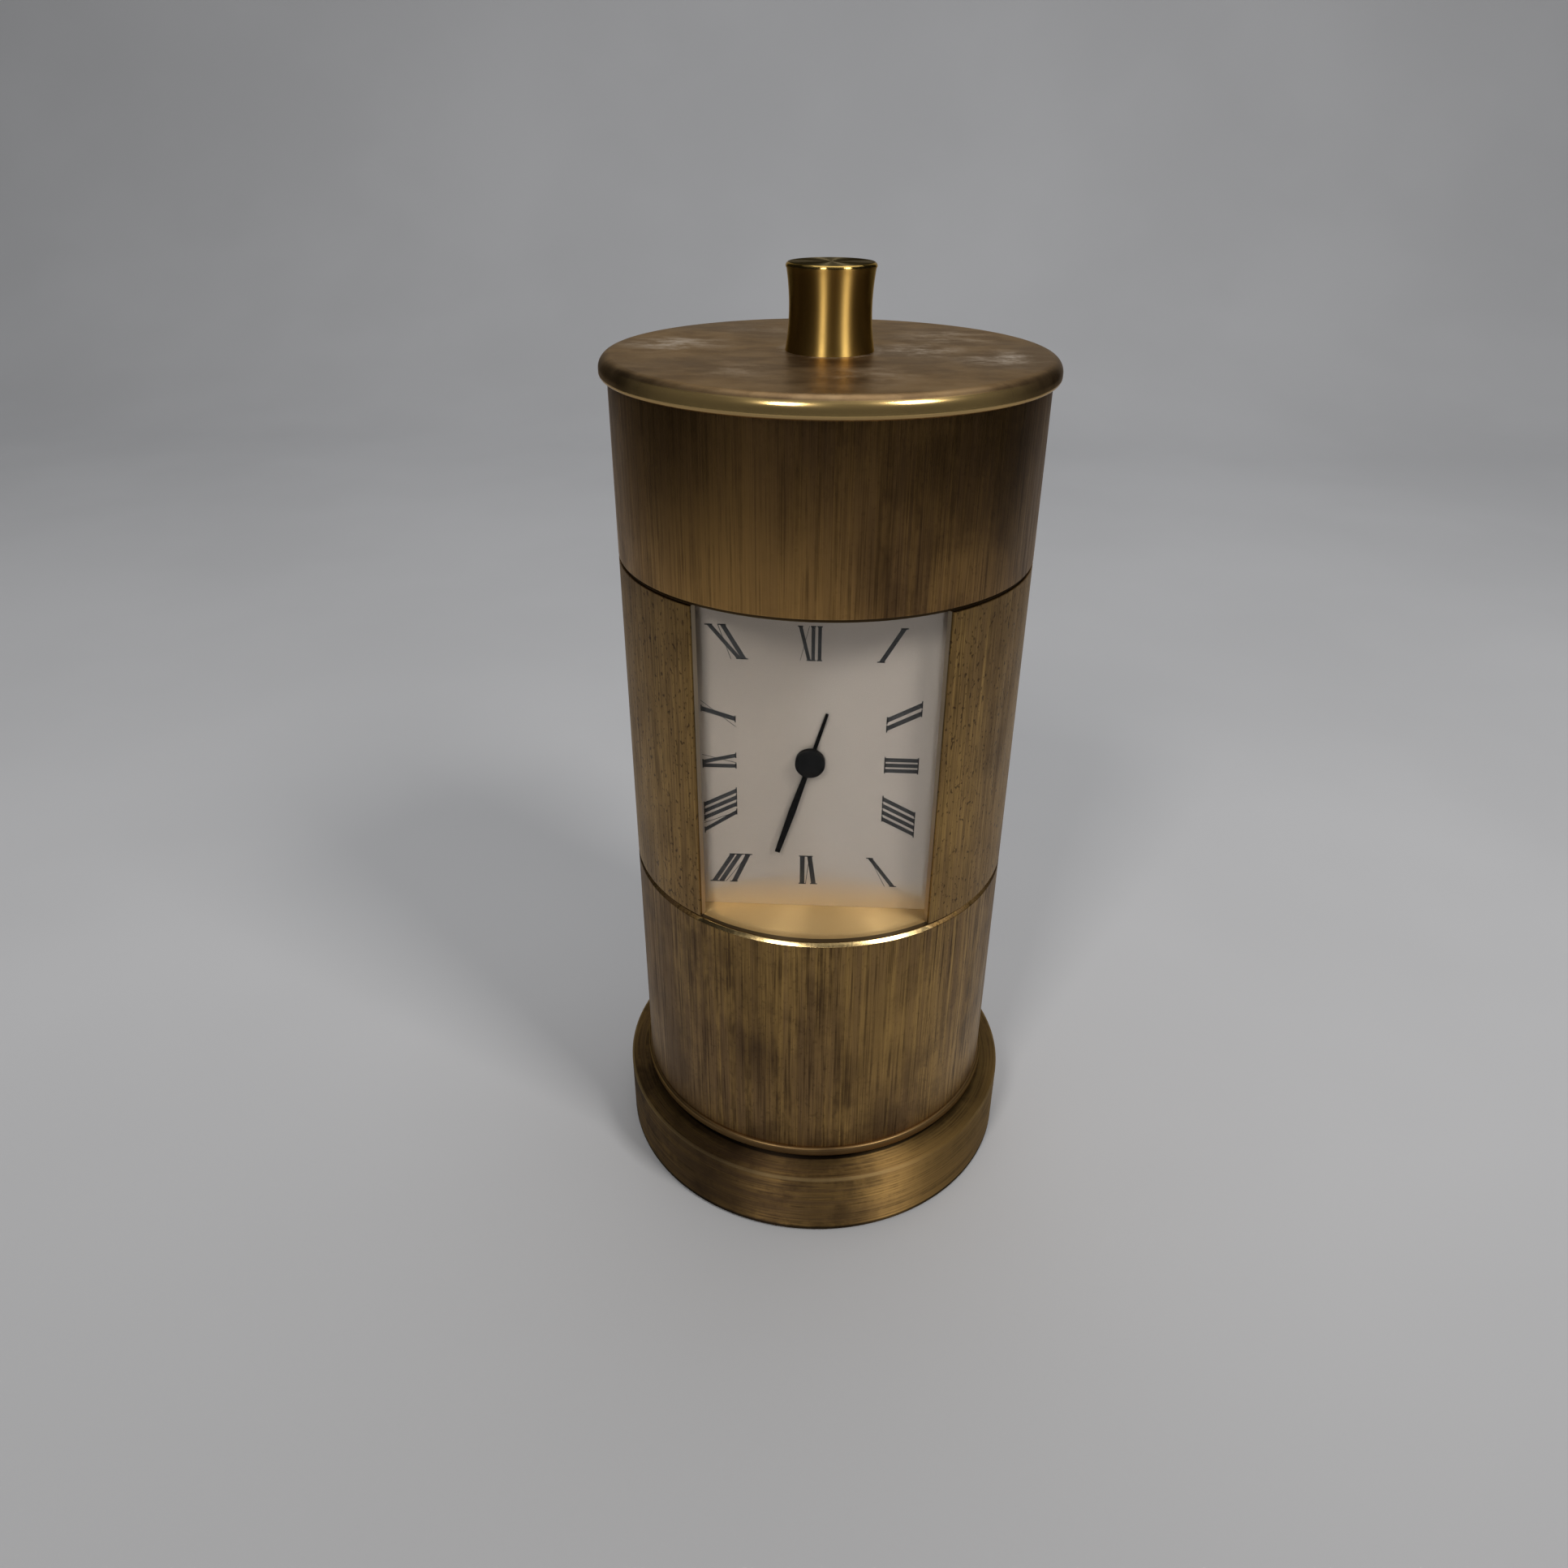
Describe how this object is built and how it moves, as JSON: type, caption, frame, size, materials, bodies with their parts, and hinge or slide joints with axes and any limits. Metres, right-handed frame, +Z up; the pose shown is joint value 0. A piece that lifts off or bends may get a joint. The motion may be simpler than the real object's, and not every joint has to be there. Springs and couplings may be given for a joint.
{
  "type": "cylindrical desk clock",
  "caption": "Upright brass cylinder desk clock on a round base, with a curved window over a flat dial, turning hands, a lift-off lid with a knob and a battery movement.",
  "frame": {"origin": "centre of the base's underside, on the table", "axes": "+Z up along the cylinder's axis, the dial faces -Y, +X to the right as seen from the front"},
  "size_m": [0.081, 0.081, 0.1742],
  "materials": {
    "aged_brass": "brushed, dulled and speckled with age",
    "polished_brass": "polished",
    "lid_brass": "polished edge, dull top",
    "movement_brass": "satin",
    "steel": "bright",
    "dial_white": "satin warm white",
    "hand_black": "satin black",
    "clear_crystal": "clear, polished",
    "black_plastic": "matte",
    "red_plastic": "matte",
    "board_green": "satin",
    "cell_wrap": "gloss",
    "pad_rubber": "matte"
  },
  "bodies": {
    "case": {"base_plinth": "aged_brass", "lower_drum": "aged_brass", "middle_band": "aged_brass", "upper_drum": "aged_brass", "foot_ring": "polished_brass", "lower_deck": "polished_brass", "upper_deck": "polished_brass", "front_plate": "movement_brass", "back_plate": "movement_brass", "pillars": "movement_brass", "dial_feet": "movement_brass", "base_cover": "steel", "cover_screws": "steel", "tie_rods": "steel", "tie_rod_nuts": "steel", "dial_screws": "steel", "pillar_screws": "steel", "board_screws": "steel", "quartz_can": "steel", "cradle_screws": "steel", "positive_contact": "steel", "negative_contact": "steel", "dial_plate": "dial_white", "crystal": "clear_crystal", "battery_cradle": "black_plastic", "motor_unit": "black_plastic", "driver_chip": "black_plastic", "negative_lead": "black_plastic", "positive_lead": "red_plastic", "circuit_board": "board_green", "battery_cell": "cell_wrap", "base_pad": "pad_rubber"},
    "lid": {"lid_disc": "lid_brass", "lid_ring": "lid_brass", "lid_ring_screws": "steel", "knob": "polished_brass", "knob_screw": "steel"},
    "minute_works": {"centre_arbor": "steel", "centre_wheel": "movement_brass", "cannon_pinion": "movement_brass", "minute_hand": "hand_black", "hand_cap": "hand_black"},
    "hour_works": {"hour_wheel": "movement_brass", "hour_hand": "hand_black"},
    "setting_works": {"minute_wheel": "movement_brass", "minute_pinion": "movement_brass", "setting_arbor": "steel", "setting_knob": "polished_brass"},
    "drive": {"drive_pinion": "steel"}
  },
  "joints": [
    {"name": "lid_lift", "type": "slide", "parent": "case", "child": "lid", "axis": [0, 0, 1], "range_m": [0, 0.04]},
    {"name": "minute_turn", "type": "hinge", "parent": "case", "child": "minute_works", "pos_m": [-0.0013, -0.026, 0.099], "axis": [0, 1, 0], "continuous": true},
    {"name": "hour_turn", "type": "hinge", "parent": "case", "child": "hour_works", "pos_m": [-0.0013, -0.026, 0.099], "axis": [0, 1, 0], "continuous": true},
    {"name": "setting_turn", "type": "hinge", "parent": "case", "child": "setting_works", "pos_m": [-0.0013, -0.02, 0.0846], "axis": [0, 1, 0], "continuous": true},
    {"name": "drive_turn", "type": "hinge", "parent": "case", "child": "drive", "pos_m": [-0.01234, -0.015, 0.10537], "axis": [0, 1, 0], "continuous": true}
  ],
  "couplings": [
    {"joint": "hour_turn", "follows": "minute_turn", "ratio": 0.083333},
    {"joint": "setting_turn", "follows": "minute_turn", "ratio": -0.33333},
    {"joint": "drive_turn", "follows": "minute_turn", "ratio": -7.5}
  ]
}
